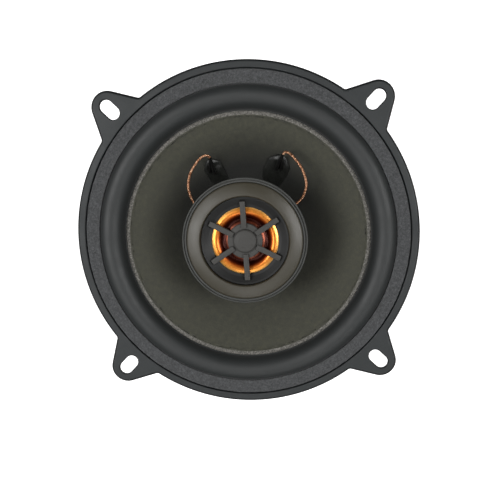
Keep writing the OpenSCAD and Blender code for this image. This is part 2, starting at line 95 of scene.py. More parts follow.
# Basket
RIM_R = 65
RECESS_R = 61.9
SHEET = 1
EAR_TIP_R = 6.2
EAR_REACH = 76.5
EAR_ROOT_ANGLE = 9.4
EAR_ROOT_R = 1.5
SLOT_PITCH_R = 69.2
SLOT_W = 5
SLOT_LEN = 8.3
WALL_FRONT_R = 56.4
LEDGE_R = 34.6
LEDGE_Z = -21
FLOOR_R = 25.5
FLOOR_Z = -27
SEAT_Z = SHEET
BORE_R = 14.8
WINDOW_RADII = (38, 52.5)
WINDOW_HALF_ANGLE = 31
WINDOW_CORNER_R = 3.5
WINDOW_TOP_Z = -2.2
LEG_R = 44.6
LEG_SLOPE = math.degrees(math.atan2(SEAT_Z - LEDGE_Z, WALL_FRONT_R - 0.6 - LEDGE_R))
# Cone and surround
LIP_OUT_R = 47
LIP_IN_R = 45.1
LIP_Z = -0.8
NECK_Z = -19
NECK_R = 13.8
FORMER_R = 13
CONE_FLARE = 0.85
CONE_T = 0.7
GASKET_IN_R = 56.5
ROLL_H = 4
SURROUND_T = 0.5
SPIDER_T = 0.5
# Tweeter
DIAPHRAGM_R = 12.1
DOME_R = 7
PLUG_COLLAR_R = 6.4
PLUG_CAP_R = 4.2
ARM_REACH = 14.3
ARM_W = 2
ARM_TURN = 1.6
LEAD_HOLES = ((102.3, 3), (-12.6, 3))
BOLT_BORE_R = 2.2
# Terminals and capacitor
BOARD = (26, 11, 1.6)
PAD_T = 0.6
TAB_T = 0.8
TAB_X = 7.5
TAB_TOP = PAD_T + BOARD[2] + TAB_T
CAPACITOR_R = 3
CAPACITOR_LEN = 12
CAPACITOR_Y = -BOARD[1] / 2 - CAPACITOR_R - 0.6
CAPACITOR_Z = CAPACITOR_R + 0.5


# ---- measures


def span(node):
    """A round node's outer radius, lowest height and highest height."""
    low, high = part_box(node)
    return high.x / MM, low.z / MM, high.z / MM


def evenly(steps):
    """Numbers from 0 to 1 in that many equal steps, both ends included."""
    return [i / steps for i in range(steps + 1)]


def polar(radius, turn):
    """Point at that distance from the origin, turn radians round from +X."""
    return radius * math.cos(turn), radius * math.sin(turn)


def rotation(degrees, axis="Z"):
    return Matrix.Rotation(math.radians(degrees), 4, axis)


def seen_from_front(x, y, z):
    """Row-frame point in metres from x to the viewer's right, y up and z towards the viewer."""
    return rotation(TERMINAL_ANGLE - 90) @ Vector((x, y, z))


# ---- camera, light and floor


def show(made):
    bpy.context.scene.collection.objects.link(made)
    return made


def add_camera():
    """Close in front, a little off the axis and turned by tilt degrees about tilt, with a shifted lens."""
    data = bpy.data.cameras.new("camera")
    data.sensor_width = 36
    data.lens = 44.47
    data.shift_x = -0.0452
    data.shift_y = 0.0404
    data.clip_start = 0.01
    tilt = Vector((9.486, -2.156, 1.88))
    turn = rotation(tilt.length, tilt).inverted()
    upright = rotation(TERMINAL_ANGLE - 90)
    camera = bpy.data.objects.new("camera", data)
    camera.matrix_world = Matrix.Translation((0.0314, 0.00513, 0.23452)) @ upright @ turn
    show(camera)
    bpy.context.scene.camera = camera


def add_light(name, place, size, watts):
    """Round soft light at place, as seen_from_front has it, turned towards the origin."""
    data = bpy.data.lights.new(name, "AREA")
    data.shape = "DISK"
    data.size = size
    data.energy = watts
    light = bpy.data.objects.new(name, data)
    light.location = seen_from_front(*place)
    light.rotation_euler = (-light.location).to_track_quat("-Z", "Y").to_euler()
    show(light)


def add_world(strength):
    world = bpy.data.worlds.new("studio")
    world.use_nodes = True
    inputs = world.node_tree.nodes["Background"].inputs
    inputs["Color"].default_value = (1, 1, 1, 1)
    inputs["Strength"].default_value = strength
    bpy.context.scene.world = world


def add_floor():
    """Pale floor under the magnet; from below it is clear, so the speaker's back can be seen."""
    half = 2.5
    low = cad_box[0].z
    corners = [(-half, -half, low), (half, -half, low), (half, half, low), (-half, half, low)]
    mesh = bpy.data.meshes.new("floor")
    mesh.from_pydata(corners, [], [(0, 1, 2, 3)])
    shader = Shader("floor", {"Roughness": 0.9, "Emission Color": (1, 1, 1, 1), "Emission Strength": 0.75})
    shader.colour(shader.ramp(shader.noise(3), (0.3, "#e9e9e9"), (0.7, "#efefef")))
    clear = shader.node("ShaderNodeBsdfTransparent").outputs["BSDF"]
    behind = shader.node("ShaderNodeNewGeometry").outputs["Backfacing"]
    mixed = shader.node("ShaderNodeMixShader", {"Fac": behind, 1: shader.main.outputs["BSDF"], 2: clear})
    shader.feed(shader.tree.nodes["Material Output"].inputs["Surface"], mixed.outputs["Shader"])
    mesh.materials.append(shader.material)
    floor = bpy.data.objects.new("floor", mesh)
    floor.visible_diffuse = False
    floor.visible_glossy = False
    floor.visible_shadow = False
    show(floor)


# ---- materials


def tint(code):
    """Linear colour of a hex code."""
    parts = [int(code[i:i + 2], 16) / 255 for i in (1, 3, 5)]
    return [p / 12.92 if p < 0.04045 else ((p + 0.055) / 1.055) ** 2.4 for p in parts] + [1]


SHINE = "Specular IOR Level"
SHADERS = {}


class Shader:
    """A node material around one Principled shader, filed in SHADERS under its name."""

    def __init__(self, name, sockets):
        self.material = bpy.data.materials.new(name)
        SHADERS[name] = self.material
        self.material.use_nodes = True
        self.tree = self.material.node_tree
        self.main = self.tree.nodes["Principled BSDF"]
        for socket, value in sockets.items():
            self.main.inputs[socket].default_value = value

    def feed(self, socket, value):
        if isinstance(value, bpy.types.NodeSocket):
            self.tree.links.new(value, socket)
        else:
            socket.default_value = value

    def node(self, kind, inputs=None, **settings):
        made = self.tree.nodes.new(kind)
        for key, value in settings.items():
            setattr(made, key, value)
        for socket, value in (inputs or {}).items():
            self.feed(made.inputs[socket], value)
        return made

    def place(self, scale=(1, 1, 1)):
        """Object coordinates in millimetres, stretched by scale."""
        coords = self.node("ShaderNodeTexCoord").outputs["Object"]
        size = [s / MM for s in scale]
        return self.node("ShaderNodeMapping", {"Vector": coords, "Scale": size}).outputs["Vector"]

    def radius(self):
        """Distance from the speaker's axis, in millimetres."""
        flat = self.place((1, 1, 0))
        return self.node("ShaderNodeVectorMath", {0: flat}, operation="LENGTH").outputs["Value"]

    def maths(self, operation, *values):
        return self.node("ShaderNodeMath", dict(enumerate(values)), operation=operation).outputs[0]

    def split(self, vector):
        return self.node("ShaderNodeSeparateXYZ", {"Vector": vector}).outputs

    def round_place(self, around, out, up):
        """Coordinates that run round the axis, out from it and up it, for grain that turns."""
        parts = self.split(self.place())
        angle = self.maths("ARCTAN2", parts["Y"], parts["X"])
        axes = [(angle, around), (self.radius(), out), (parts["Z"], up)]
        scaled = [self.maths("MULTIPLY", value, scale) for value, scale in axes]
        return self.node("ShaderNodeCombineXYZ", {"X": scaled[0], "Y": scaled[1], "Z": scaled[2]}).outputs[0]

    def noise(self, grain, detail=5, roughness=0.6, place=None, warp=0):
        """Random texture with that many features per millimetre."""
        inputs = {"Vector": place or self.place(), "Scale": grain, "Detail": detail,
                  "Roughness": roughness, "Distortion": warp}
        return self.node("ShaderNodeTexNoise", inputs).outputs["Fac"]

    def ramp(self, factor, *stops):
        made = self.node("ShaderNodeValToRGB", {"Fac": factor})
        while len(made.color_ramp.elements) < len(stops):
            made.color_ramp.elements.new(0.5)
        for element, (position, code) in zip(made.color_ramp.elements, stops):
            element.position = position
            element.color = tint(code)
        return made.outputs["Color"]

    def spread(self, value, low, high, to_low, to_high):
        inputs = {0: value, 1: low, 2: high, 3: to_low, 4: to_high}
        return self.node("ShaderNodeMapRange", inputs).outputs[0]

    def mix(self, factor, a, b, blend="MIX"):
        made = self.node("ShaderNodeMix", data_type="RGBA", blend_type=blend)
        self.feed(made.inputs[0], factor)
        self.feed(made.inputs[6], a)
        self.feed(made.inputs[7], b)
        return made.outputs[2]

    def colour(self, value):
        self.feed(self.main.inputs["Base Color"], value)

    def rough(self, value, low, high):
        self.feed(self.main.inputs["Roughness"], self.spread(value, 0.3, 0.7, low, high))

    def bump(self, *layers):
        """layers are (height, depth in millimetres), coarse first."""
        normal = None
        for height, depth in layers:
            made = self.node("ShaderNodeBump", {"Height": height, "Distance": depth * MM, "Strength": 1})
            if normal:
                self.feed(made.inputs["Normal"], normal)
            normal = made.outputs["Normal"]
        self.feed(self.main.inputs["Normal"], normal)


def grainy(name, colours, grain, rough, depth, sockets, patch=0.08):
    """Painted or moulded surface: the first two colours in a fine grain, the third in broad patches."""
    shader = Shader(name, sockets)
    fine = shader.noise(grain, 6, 0.7)
    broad = shader.noise(patch, 3)
    base = shader.ramp(fine, (0.3, colours[0]), (0.7, colours[1]))
    shader.colour(shader.mix(shader.spread(broad, 0.35, 0.65, 0, 0.35), base, tint(colours[2])))
    shader.rough(broad, *rough)
    shader.bump((shader.noise(grain * 0.3, 3), depth * 2), (fine, depth))


def painted_steel():
    """Satin black paint, with painted shade that makes it darker on the flange's turned edge and in its
    slots.
    """
    shader = Shader("painted_steel", {SHINE: 0.42})
    fine = shader.noise(3.5, 6, 0.7)
    broad = shader.noise(0.08, 3)
    base = shader.ramp(fine, (0.3, "#191c1d"), (0.7, "#262a2b"))
    base = shader.mix(shader.spread(broad, 0.35, 0.65, 0, 0.35), base, tint("#1f2324"))
    # Painted shade: faces of the flange that turn away from the front get a near-black colour, as if in
    # shadow.
    normal = shader.node("ShaderNodeTexCoord").outputs["Normal"]
    facing_out = shader.spread(shader.split(normal)["Z"], 0.88, 0.985, 1, 0)
    on_flange = shader.spread(shader.radius(), RECESS_R - 0.4, RIM_R - 2, 0, 1)
    painted_edge_shade = shader.maths("MULTIPLY", facing_out, on_flange)
    shader.colour(shader.mix(painted_edge_shade, base, tint("#020303")))
    shader.rough(broad, 0.5, 0.62)
    shader.bump((shader.noise(1, 3), 0.024), (fine, 0.012))


def cone_paper():
    """Dark olive paper pulp with pale fibres and a raw cut lip, with painted shadow that darkens it towards
    the tweeter.
    """
    shader = Shader("cone_paper", {SHINE: 0.32, "Sheen Weight": 0.08, "Sheen Roughness": 0.6})
    mottled = shader.noise(0.55, 8, 0.72)
    fibres = shader.noise(2.2, 3, 0.6, shader.round_place(9, 1.0, 1.0), 1.2)
    body = shader.ramp(mottled, (0.28, "#2f2f27"), (0.55, "#3b3b31"), (0.8, "#484739"))
    body = shader.mix(shader.spread(fibres, 0.62, 0.8, 0, 0.35), body, tint("#59574c"))
    raw = shader.ramp(shader.noise(1.6, 6, 0.8), (0.36, "#302f2d"), (0.5, "#575550"), (0.66, "#888580"))
    parts = shader.split(shader.place())
    # Painted shadow: the paper darkens near the tweeter, most on the leads' side, where the tweeter shades
    # it.
    aside = shader.maths("ADD", parts["X"], parts["Y"])
    painted_shadow_side = shader.spread(aside, -30, 34, 0.3, 0.95)
    near = shader.spread(shader.radius(), 27, 42, 1, 0)
    body = shader.mix(shader.maths("MULTIPLY", near, painted_shadow_side), body, tint("#0f100e"))
    on_front = shader.spread(parts["Z"], LIP_Z - 0.3, LIP_Z - 0.05, 0, 1)
    far_out = shader.spread(shader.radius(), LIP_IN_R + 0.25, LIP_IN_R + 0.6, 0, 1)
    lip = shader.maths("MULTIPLY", on_front, far_out)
    shader.colour(shader.mix(lip, body, raw))
    shader.rough(mottled, 0.62, 0.85)
    shader.bump((mottled, 0.12), (fibres, 0.05), (shader.noise(6, 4), 0.02))


def gasket_foam():
    """Grey foam with felt-like fibres and open pores."""
    shader = Shader("gasket_foam", {SHINE: 0.25, "Sheen Weight": 0.15, "Sheen Roughness": 0.5})
    pores = shader.noise(1.5, 7, 0.75)
    fibres = shader.noise(0.9, 4, 0.6, warp=2.5)
    base = shader.ramp(pores, (0.3, "#282929"), (0.5, "#404142"), (0.72, "#5a5b5d"))
    shader.colour(shader.mix(shader.spread(fibres, 0.6, 0.72, 0, 0.4), base, tint("#77797b")))
    shader.rough(pores, 0.75, 0.95)
    shader.bump((fibres, 0.12), (pores, 0.14))


def amber_film():
    """Thin shiny amber polymer film, with painted reflections: a bright yellow painted highlight on the
    outer roll, a pink painted highlight at the dome's edge and a deep red-brown painted reflection in the
    trough.
    """
    shader = Shader("amber_film", {"Metallic": 0.6, SHINE: 0.3})
    share = shader.spread(shader.radius(), DOME_R - 1, DIAPHRAGM_R + 0.4, 0, 1)
    # Painted highlights and reflections by radius, over the film's own amber colour.
    body = shader.ramp(
        share, (0.0, "#200a04"), (0.08, "#6a3220"), (0.15, "#743a26"), (0.2, "#3a1005"), (0.38, "#300c03"),
        (0.5, "#551a06"), (0.59, "#b9581a"), (0.7, "#dd8632"), (0.84, "#e6933c"), (0.95, "#f2bc68"))
    smear = shader.noise(0.5, 4, 0.6, shader.round_place(6, 1, 1))
    shader.colour(shader.mix(shader.spread(smear, 0.4, 0.75, 0, 0.35), body, tint("#5a1e08"), "MULTIPLY"))
    shader.rough(smear, 0.24, 0.36)
    shader.bump((smear, 0.03))


def turned_metal(name, colours, rough):
    """Plated steel with fine rings left by turning and a blotchy plating."""
    shader = Shader(name, {"Metallic": 1})
    rings = shader.noise(1, 4, 0.7, shader.round_place(0.4, 9, 9))
    blotch = shader.noise(0.12, 5)
    base = shader.ramp(blotch, (0.3, colours[0]), (0.5, colours[1]), (0.72, colours[2]))
    shader.colour(shader.mix(shader.spread(rings, 0.4, 0.7, 0, 0.25), base, tint(colours[0])))
    shader.rough(blotch, *rough)
    shader.bump((rings, 0.015), (shader.noise(3, 4), 0.008))


def ferrite():
    """Ground ferrite: charcoal grey with grinding marks and small chips."""
    shader = Shader("ferrite", {SHINE: 0.6})
    marks = shader.noise(1, 5, 0.7, shader.place((0.3, 6, 6)))
    specks = shader.noise(2.4, 6, 0.8)
    base = shader.ramp(specks, (0.3, "#1b1c1e"), (0.6, "#2b2d30"), (0.8, "#43464a"))
    shader.colour(shader.mix(shader.spread(marks, 0.5, 0.75, 0, 0.5), base, tint("#3a3c40")))
    shader.rough(specks, 0.35, 0.62)
    shader.bump((marks, 0.03), (specks, 0.04))


def weave():
    """The spider: resin-dipped cotton with threads both ways over the amber cloth."""
    shader = Shader("spider_cloth", {SHINE: 0.3, "Sheen Weight": 0.2, "Sheen Roughness": 0.5})
    parts = shader.split(shader.place())
    threads = [shader.maths("SINE", shader.maths("MULTIPLY", parts[axis], 9.5)) for axis in "XY"]
    cloth = shader.maths("MULTIPLY", *threads)
    stain = shader.noise(0.15, 5)
    base = shader.ramp(stain, (0.3, "#6d5523"), (0.55, "#96793a"), (0.8, "#b3954f"))
    shader.colour(shader.mix(shader.spread(cloth, -0.2, 0.9, 0, 0.45), base, tint("#4c3a16")))
    shader.rough(stain, 0.6, 0.8)
    shader.bump((cloth, 0.06), (shader.noise(5, 4), 0.03))


def copper_braid():
    """Bare copper tinsel, dulled in blotches."""
    shader = Shader("copper_braid", {"Metallic": 0.85})
    foil = shader.noise(1.5, 5, 0.7)
    base = shader.ramp(foil, (0.38, "#4a2c1f"), (0.5, "#b07c5c"), (0.62, "#e6bd9c"))
    shader.colour(base)
    shader.rough(foil, 0.3, 0.5)
    shader.bump((foil, 0.05))


def windings(name, colours, pitch):
    """Enamelled wire wound round the axis."""
    shader = Shader(name, {"Metallic": 0.7, "Coat Weight": 0.5})
    height = shader.split(shader.place())["Z"]
    turns = shader.maths("SINE", shader.maths("MULTIPLY", height, math.tau / pitch))
    shader.colour(shader.ramp(shader.spread(turns, -1, 1, 0, 1), (0.1, colours[0]), (0.6, colours[1])))
    shader.rough(shader.noise(1), 0.25, 0.4)
    shader.bump((turns, 0.05))


def phenolic():
    """Laminated board: brown resin paper in streaked layers."""
    shader = Shader("phenolic", {"Coat Weight": 0.25, "Coat Roughness": 0.3})
    layers = shader.noise(1.4, 5, 0.7, shader.place((1, 0.3, 3)))
    shader.colour(shader.ramp(layers, (0.3, "#4a2c16"), (0.5, "#6b4322"), (0.75, "#83572f")))
    shader.rough(layers, 0.35, 0.55)
    shader.bump((layers, 0.03))


# Grainy surfaces: three colours, grain, roughness from and to, bump depth, fixed sockets and patch.
GRAINY = {
    "surround_rubber": (
        ("#1a1c1c", "#262929", "#202323"), 5, (0.48, 0.6), 0.008, {SHINE: 0.45, "Sheen Weight": 0.05}),
    "glue": (("#131412", "#1e1f1c", "#181917"), 0.7, (0.34, 0.5), 0.05, {SHINE: 0.4}, 0.3),
    "sleeve": (
        ("#070707", "#121212", "#0c0c0c"), 2, (0.3, 0.45), 0.03,
        {"Coat Weight": 0.4, "Coat Roughness": 0.2}),
    "kapton": (("#8a4a1c", "#b26a2c", "#9a5a24"), 1.2, (0.25, 0.4), 0.01, {"Coat Weight": 0.4}),
    "housing_plastic": (("#2c2d2b", "#3a3b38", "#333431"), 6, (0.5, 0.62), 0.014, {SHINE: 0.45}),
    "bezel_plastic": (("#2f2c23", "#3d392d", "#353227"), 7, (0.36, 0.48), 0.012, {SHINE: 0.5}),
    "black_plastic": (("#090a0a", "#121312", "#0d0e0d"), 6, (0.52, 0.64), 0.012, {SHINE: 0.4}),
    "grille_plastic": (("#2e2d2b", "#3c3b38", "#343330"), 6, (0.5, 0.65), 0.014, {SHINE: 0.4}),
    "capacitor_sleeve": (
        ("#11151d", "#1b212c", "#161b25"), 2, (0.25, 0.4), 0.01,
        {"Coat Weight": 0.5, "Coat Roughness": 0.15}),
}
for slot_name, look in GRAINY.items():
    grainy(slot_name, *look)
painted_steel()
turned_metal("plated_steel", ("#a3a4a2", "#afb0ad", "#bab9b3"), (0.3, 0.38))
turned_metal("tinned_brass", ("#a39e8c", "#c6c1ae", "#dcd8c8"), (0.22, 0.4))
ferrite()
gasket_foam()
cone_paper()
weave()
copper_braid()
windings("copper_wire", ("#5a2411", "#b5672f"), 0.25)
amber_film()
phenolic()


# ---- mesh tools

CREASE = 35


def smooth(mesh, sharp=CREASE):
    """Smooth shading, but edges that turn by more than sharp degrees stay crisp."""
    mesh.shade_smooth()
    mesh.set_sharp_from_angle(angle=math.radians(sharp))


def add_mesh(points, faces, sharp=CREASE):
    """Mesh object from points in millimetres, shaded as smooth has it."""
    mesh = bpy.data.meshes.new("piece")
    mesh.from_pydata([[c * MM for c in p] for p in points], [], faces)
    made = bmesh.new()
    made.from_mesh(mesh)
    bmesh.ops.recalc_face_normals(made, faces=made.faces)
    made.to_mesh(mesh)
    made.free()
    smooth(mesh, sharp)
    return show(bpy.data.objects.new("piece", mesh))


def rounded(corners, steps=5):
    """Closed outline through (x, y, radius) corners, each an arc with a support point at both ends."""
    outline = []
    for i, (x, y, radius) in enumerate(corners):
        here = Vector((x, y))
        if radius == 0:
            outline.append(here)
            continue
        back = Vector(corners[i - 1][:2]) - here
        ahead = Vector(corners[(i + 1) % len(corners)][:2]) - here
        half = back.angle(ahead) / 2
        cut = min(radius / math.tan(half), back.length * 0.45, ahead.length * 0.45)
        back.normalize()
        ahead.normalize()
        centre = here + (back + ahead).normalized() * cut / math.cos(half)
        start, end = here + back * cut - centre, here + ahead * cut - centre
        sweep = math.pi - 2 * half
        outline.append(here + back * cut * 1.08)
        for k in range(steps + 1):
            a, b = math.sin((1 - k / steps) * sweep), math.sin(k / steps * sweep)
            outline.append(centre + (start * a + end * b) / math.sin(sweep))
        outline.append(here + ahead * cut * 1.08)
    return outline


def refined(outline, longest):
    """The same closed outline with points added so that no side is longer than longest."""
    made = []
    for i, here in enumerate(outline):
        ahead = outline[(i + 1) % len(outline)]
        parts = max(1, math.ceil((ahead - here).length / longest))
        made += [here.lerp(ahead, k / parts) for k in range(parts)]
    return made


def ring_faces(rings, size, closed=True):
    """Quads between rings of size points each, the last joined to the first if closed."""
    last = rings if closed else rings - 1
    return [
        (k * size + i, k * size + (i + 1) % size,
         (k + 1) % rings * size + (i + 1) % size, (k + 1) % rings * size + i)
        for k in range(last)
        for i in range(size)
    ]


def lathe(outline, steps=192, sharp=CREASE):
    """Solid turned about the speaker's axis from a closed (radius, height) outline.
    Points on the axis become one vertex each."""
    points, rings = [], []
    for x, y in outline:
        if x < 1e-6:
            rings.append([len(points)] * steps)
            points.append((0, 0, y))
            continue
        rings.append(range(len(points), len(points) + steps))
        points += [(*polar(x, math.tau * i / steps), y) for i in range(steps)]
    faces = []
    for k, ring in enumerate(rings):
        ahead = rings[(k + 1) % len(rings)]
        if ring[0] == ring[1] and ahead[0] == ahead[1]:
            continue
        for i in range(steps):
            j = (i + 1) % steps
            corners = [ring[i], ring[j], ahead[j], ahead[i]]
            faces.append(list(dict.fromkeys(corners)))
    return add_mesh(points, faces, sharp)


def turned(corners, steps=192):
    return lathe(rounded(corners), steps)


def prism(outline, low, high, bevel=0):
    """Closed (x, y) outline pushed from height low to high, with its rims bevelled."""
    size = len(outline)
    points = [(x, y, z) for z in (low, high) for x, y in outline]
    faces = ring_faces(2, size, False) + [list(range(size))[::-1], list(range(size, 2 * size))]
    piece = add_mesh(points, faces)
    if bevel:
        made = bmesh.new()
        made.from_mesh(piece.data)
        rims = [e for e in made.edges if abs(e.verts[0].co.z - e.verts[1].co.z) < 1e-7]
        bmesh.ops.bevel(made, geom=rims, offset=bevel * MM, segments=3, profile=0.5, affect="EDGES")
        made.to_mesh(piece.data)
        made.free()
        smooth(piece.data)
    return piece


def rectangle(low, high, radius):
    (x0, y0), (x1, y1) = low, high
    return rounded([(x0, y0, radius), (x1, y0, radius), (x1, y1, radius), (x0, y1, radius)])


def circle(x, y, radius, steps=32):
    return [Vector((x, y)) + Vector(polar(radius, math.tau * i / steps)) for i in range(steps)]


def put(piece, matrix):
    """Moves the mesh itself; matrix is in millimetres."""
    scaled = matrix.copy()
    scaled.translation *= MM
    piece.data.transform(scaled)
    return piece


def merge(piece, *others):
    """Adds the other pieces' shells to the piece and removes those objects."""
    made = bmesh.new()
    for each in (piece, *others):
        made.from_mesh(each.data)
    made.to_mesh(piece.data)
    made.free()
    for other in others:
        bpy.data.objects.remove(other)
    smooth(piece.data)
    return piece


def carve(piece, tool, operation="DIFFERENCE"):
    """Boolean of the piece with the tool, which is removed. Both are closed meshes."""
    modifier = piece.modifiers.new("cut", "BOOLEAN")
    modifier.operation = operation
    modifier.solver = "MANIFOLD"
    modifier.object = tool
    cut = bpy.data.meshes.new_from_object(piece.evaluated_get(bpy.context.evaluated_depsgraph_get()))
    piece.modifiers.clear()
    piece.data = cut
    bpy.data.objects.remove(tool)
    smooth(piece.data)


def roughen(piece, depth, grain, seed, where=lambda p: 1):
    """Moves each vertex along its normal by noise up to depth; where scales it by place."""
    mesh = piece.data
    # All normals are read before any vertex moves, because each move would make them all stale.
    normals = [v.normal.copy() for v in mesh.vertices]
    moved = []
    for vertex, normal in zip(mesh.vertices, normals):
        at = vertex.co / MM
        wave = noise.noise(at * grain + Vector((seed, seed * 1.7, -seed)))
        moved.extend(vertex.co + normal * wave * depth * where(at) * MM)
    mesh.vertices.foreach_set("co", moved)
    mesh.update()


def smoothstep(value, low, high):
    t = min(1, max(0, (value - low) / (high - low)))
    return t * t * (3 - 2 * t)


def away(point):
    """Distance of a point from the speaker's axis."""
    return math.hypot(point[0], point[1])


# ---- placing pieces


def dress(piece, slot, node):
    """Gives a finished piece its material, its name and the CAD node that it stands for."""
    piece.name = node + "_detail"
    piece.data.name = piece.name
    piece.data.materials.clear()
    piece.data.materials.append(SHADERS[slot])
    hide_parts(node)


def fit(piece, slot, node):
    """Dresses a piece that rides on its CAD node's own body."""
    dress(piece, slot, node)
    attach(piece, frame["nodes"][node]["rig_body"])


def flex(piece, slot, node, weights):
    """Dresses a piece and bakes its placement into its mesh, without attaching it to any body. weights is
    not used.
    """
    dress(piece, slot, node)
    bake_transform(piece)


def radial_weights(piece, moving_r, still_r):
    return [1 - smoothstep(away(v.co / MM), moving_r, still_r) for v in piece.data.vertices]


def keep_node(node, slot):
    """Shows a CAD node's own mesh with a better material."""
    piece = frame["nodes"][node]
    piece.data.materials.clear()
    piece.data.materials.append(SHADERS[slot])


# ---- basket


def on_leg():
    """Matrix onto the terminal leg's rear face: X across it, Y down its slope, Z out of it."""
    height = LEDGE_Z + (LEG_R - LEDGE_R) * math.tan(math.radians(LEG_SLOPE)) - SHEET * 0.7
    return (
        rotation(TERMINAL_ANGLE)
        @ Matrix.Translation((LEG_R + SHEET * 0.7, 0, height))
        @ rotation(180 - LEG_SLOPE, "Y")
        @ rotation(-90)
    )


def flange_outline():
    """Outline of the rim with its four ears, and its outward normals."""
    centre = EAR_REACH - EAR_TIP_R
    root = Vector(polar(RIM_R, math.radians(EAR_ROOT_ANGLE)))
    to_tip = Vector((centre, 0)) - root
    side = math.atan2(to_tip.y, to_tip.x) + math.asin(EAR_TIP_R / to_tip.length)
    tip_turn = math.pi / 2 + side
    tip_steps, rim_steps = 20, 88
    corners = []
    for i in range(-tip_steps, tip_steps + 1):
        x, y = polar(EAR_TIP_R, tip_turn * i / tip_steps)
        corners.append((centre + x, y, 0))
    corners.append((root.x, root.y, EAR_ROOT_R))
    between = 90 - 2 * EAR_ROOT_ANGLE
    for i in range(2, rim_steps - 1):
        corners.append((*polar(RIM_R, math.radians(EAR_ROOT_ANGLE + between * i / rim_steps)), 0))
    corners.append((root.y, root.x, EAR_ROOT_R))
    whole = []
    for angle in EAR_ANGLES:
        turn = Matrix.Rotation(math.radians(angle), 2)
        whole += [(*(turn @ Vector((x, y))), radius) for x, y, radius in corners]
    outline = rounded(whole, 6)
    normals = []
    for i in range(len(outline)):
        along = (outline[(i + 1) % len(outline)] - outline[i - 1]).normalized()
        normals.append(Vector((along.y, -along.x)))
    return outline, normals


def sheet_profile(rim_z):
    """Closed cross-section of the pressed steel sheet, from the floor's bore out to the turned-down rim."""
    return rounded([
        (BORE_R, FLOOR_Z + SHEET, 0.2), (FLOOR_R, FLOOR_Z + SHEET, 0.9), (LEDGE_R - 7, LEDGE_Z, 1.4),
        (LEDGE_R, LEDGE_Z, 0.8), (WALL_FRONT_R - 0.6, SEAT_Z, 1.3), (RECESS_R, SEAT_Z, 0.2),
        (RECESS_R, rim_z, 0.4), (RIM_R, rim_z, 1.15), (RIM_R, 0, 0.2), (RIM_R - SHEET, 0, 0.2),
        (RIM_R - SHEET, rim_z - SHEET, 0.25), (RECESS_R + SHEET, rim_z - SHEET, 0.2),
        (RECESS_R + SHEET, 0, 0.9), (WALL_FRONT_R + 0.4, 0, 0.9), (LEDGE_R + 0.4, LEDGE_Z - SHEET, 1.5),
        (LEDGE_R - 7 + SHEET, LEDGE_Z - SHEET, 0.9), (FLOOR_R + SHEET, FLOOR_Z, 1.6), (BORE_R, FLOOR_Z, 0.2),
    ], 6)


def basket_sheet(rim_z):
    """The sheet swept round: circles up to the recess, and the flange's own outline beyond it."""
    outline, normals = flange_outline()
    points = []
    profile = sheet_profile(rim_z)
    flange_from = (RECESS_R + RIM_R) / 2
    for r, z in profile:
        if r > flange_from:
            points += [(*(p - n * (RIM_R - r)), z) for p, n in zip(outline, normals)]
        else:
            points += [(*(p.normalized() * r), z) for p in outline]
    return add_mesh(points, ring_faces(len(profile), len(outline)))


def window_tool(angle):
    """Prism of one window: a stretch of ring with round corners."""
    low_r, high_r = WINDOW_RADII
    steps = 12
    row = range(-steps, steps + 1)
    # Neighbours of each round corner are left out, so that its arc has room.
    crowded = (1 - steps, 2 - steps, steps - 2, steps - 1)
    corners = []
    for r, turns in ((low_r, row), (high_r, reversed(row))):
        for i in turns:
            turn = math.radians(angle + WINDOW_HALF_ANGLE * i / steps)
            if i not in crowded:
                corners.append((*polar(r, turn), WINDOW_CORNER_R if abs(i) == steps else 0))
    return prism(rounded(corners, 8), LEDGE_Z - 4, WINDOW_TOP_Z)


def slot_tool(angle, rim_z):
    """Prism of one ear's slot, flared at the front face to break its edge."""
    reach = (SLOT_LEN - SLOT_W) / 2
    levels = [(-1, 0), (rim_z - 0.3, 0), (rim_z, 0.3), (rim_z + 0.7, 1)]
    points = []
    steps = 24
    for z, grow in levels:
        for end in (1, -1):
            for u in evenly(steps):
                turn = math.pi * (u - 0.5 * end)
                x, y = polar(SLOT_W / 2 + grow, turn)
                points.append((SLOT_PITCH_R + end * reach + x, y, z))
    size = 2 * (steps + 1)
    top = (len(levels) - 1) * size
    faces = ring_faces(len(levels), size, False)
    faces += [list(range(size))[::-1], list(range(top, top + size))]
    tool = add_mesh(points, faces)
    return put(tool, rotation(angle))


def basket():
    _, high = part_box("basket")
    rim_z = high.z / MM
    piece = basket_sheet(rim_z)
    pad = prism(rectangle((-9.5, -5.5), (9.5, 5.5), 1.2), -0.7, PAD_T, 0.25)
    carve(piece, put(pad, on_leg()), "UNION")
    tools = [window_tool(a) for a in EAR_ANGLES] + [slot_tool(a, rim_z) for a in EAR_ANGLES]
    carve(piece, merge(*tools))
    fit(piece, "painted_steel", "basket")


def front_gasket():
    """Die-cut foam ring with soft, slightly wavy edges."""
    r, low, high = span("front_gasket")
    inner, outer = GASKET_IN_R, r - 0.3
    section = rounded([(inner, low, 0.1), (outer, low, 0.1), (outer, high, 0.3), (inner, high, 0.3)])
    piece = lathe(refined(section, 0.45), 720)
    roughen(piece, 0.1, 0.6, 3)
    roughen(piece, 0.07, 2.2, 8)
    fit(piece, "gasket_foam", "front_gasket")


# ---- cone and suspension


def cone_z(r):
    """Height of the cone's front face at radius r."""
    return NECK_Z + (LIP_Z - NECK_Z) * max(0, (r - NECK_R) / (LIP_IN_R - NECK_R)) ** CONE_FLARE


